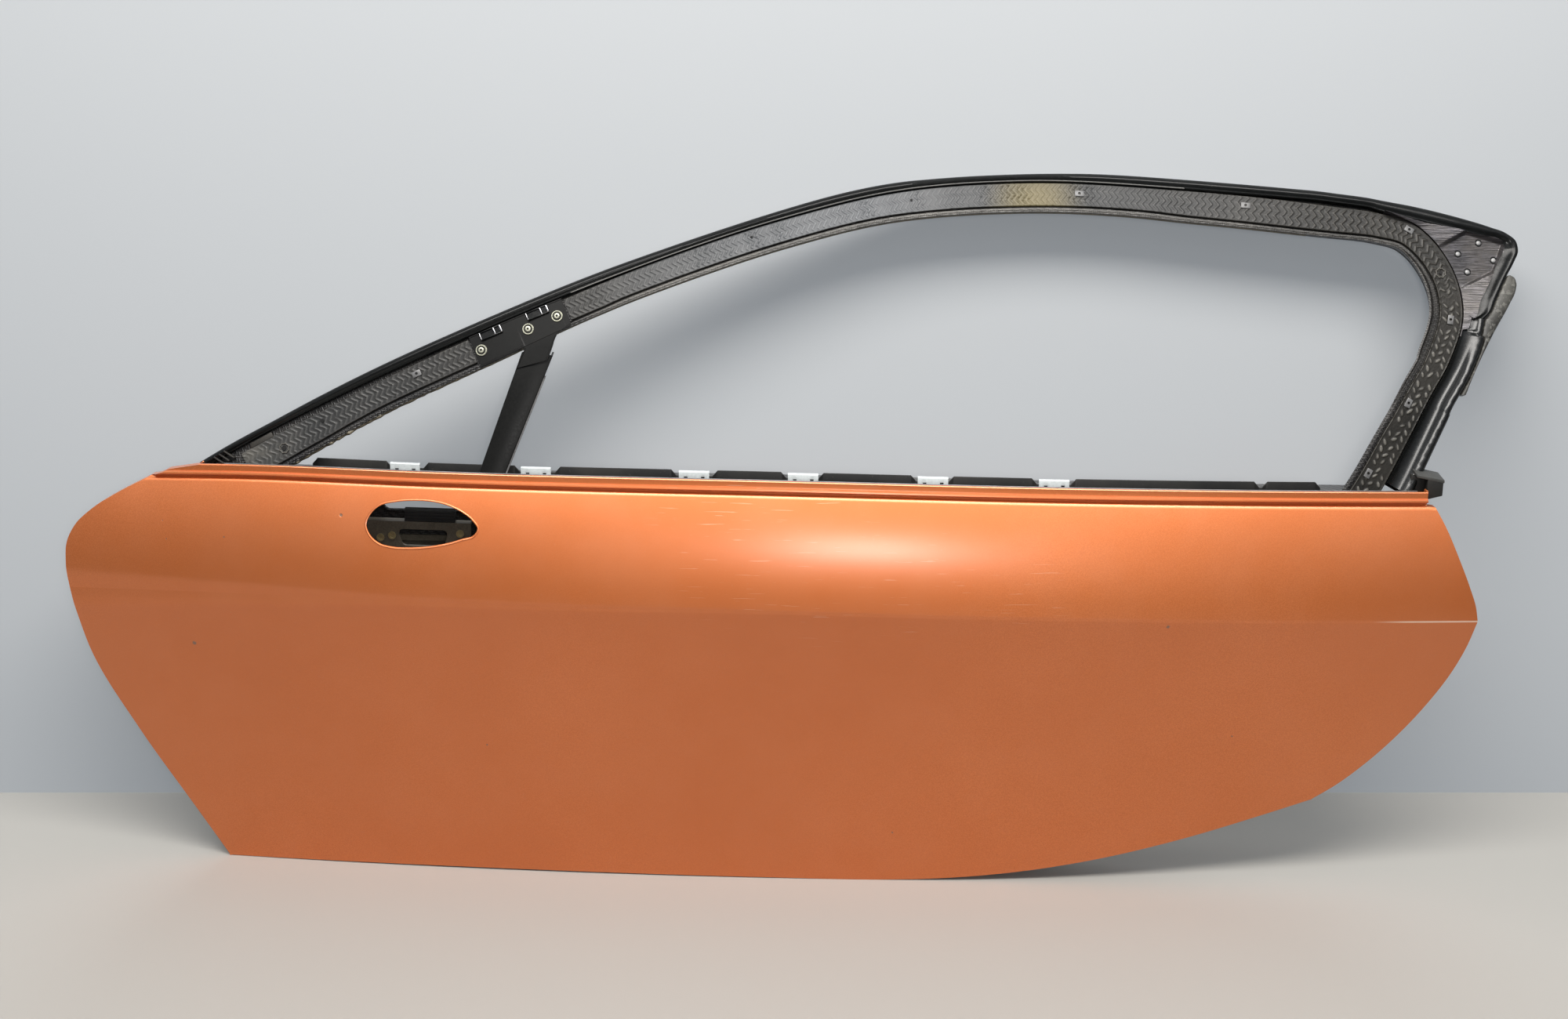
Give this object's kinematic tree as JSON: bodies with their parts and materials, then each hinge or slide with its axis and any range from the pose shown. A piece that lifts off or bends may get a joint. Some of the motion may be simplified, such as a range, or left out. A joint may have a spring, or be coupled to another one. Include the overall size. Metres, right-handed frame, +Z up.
{
  "type": "car door shell",
  "caption": "Stripped left-hand coupe door shell: orange outer skin with mirror opening, dark composite inner panel and leaning window frame with ribbed bands.",
  "frame": {"origin": "centre of the hinge plate's flat inboard face", "axes": "+X from the front edge of the door towards its rear edge, +Y inboard into the car, +Z up"},
  "size_m": [1.5006, 0.2378, 0.7228],
  "materials": {
    "copper_paint": "metallic clear coat",
    "carbon_fibre": "bare carbon fibre composite",
    "black_gloss": "glossy black",
    "ribbed_band": "herringbone ribs, dark metallic",
    "black_moulding": "moulded black",
    "bare_metal": "bright",
    "cast_metal": "cast, dark",
    "black_rubber": "matt rubber"
  },
  "bodies": {
    "root": {"beam_bracket_front": "cast_metal", "beam_bracket_rear": "cast_metal", "belt_clip_1": "bare_metal", "belt_clip_2": "bare_metal", "belt_clip_3": "bare_metal", "belt_clip_4": "bare_metal", "belt_clip_5": "bare_metal", "belt_clip_6": "bare_metal", "belt_end_block": "black_moulding", "belt_reinforcement": "carbon_fibre", "bracket_screw_1": "bare_metal", "bracket_screw_2": "bare_metal", "bracket_screw_3": "bare_metal", "cable_rail": "black_moulding", "corner_gusset": "black_gloss", "crash_beam": "bare_metal", "divider_bracket": "black_moulding", "divider_post": "black_moulding", "door_stop_1": "black_rubber", "door_stop_2": "black_rubber", "frame_inner_shell": "carbon_fibre", "frame_outer_shell": "carbon_fibre", "front_band": "ribbed_band", "glass_guide_front": "bare_metal", "glass_guide_rear": "bare_metal", "gusset_rivet_1": "bare_metal", "gusset_rivet_2": "bare_metal", "gusset_rivet_3": "bare_metal", "gusset_rivet_4": "bare_metal", "hinge_plate": "cast_metal", "inner_belt": "black_moulding", "inner_panel": "carbon_fibre", "latch_plate": "bare_metal", "mirror_bracket": "cast_metal", "mirror_insert_1": "bare_metal", "mirror_insert_2": "bare_metal", "mirror_insert_3": "bare_metal", "outer_belt_stiffener": "cast_metal", "outer_skin": "copper_paint", "panel_front": "carbon_fibre", "panel_rear": "carbon_fibre", "panel_rim": "carbon_fibre", "pillar_rail": "black_gloss", "rear_band": "ribbed_band", "rear_seal_carrier": "black_moulding", "roof_rail": "black_gloss", "strut_stud": "bare_metal", "trim_clip_1": "bare_metal", "trim_clip_2": "bare_metal"}
  },
  "joints": []
}
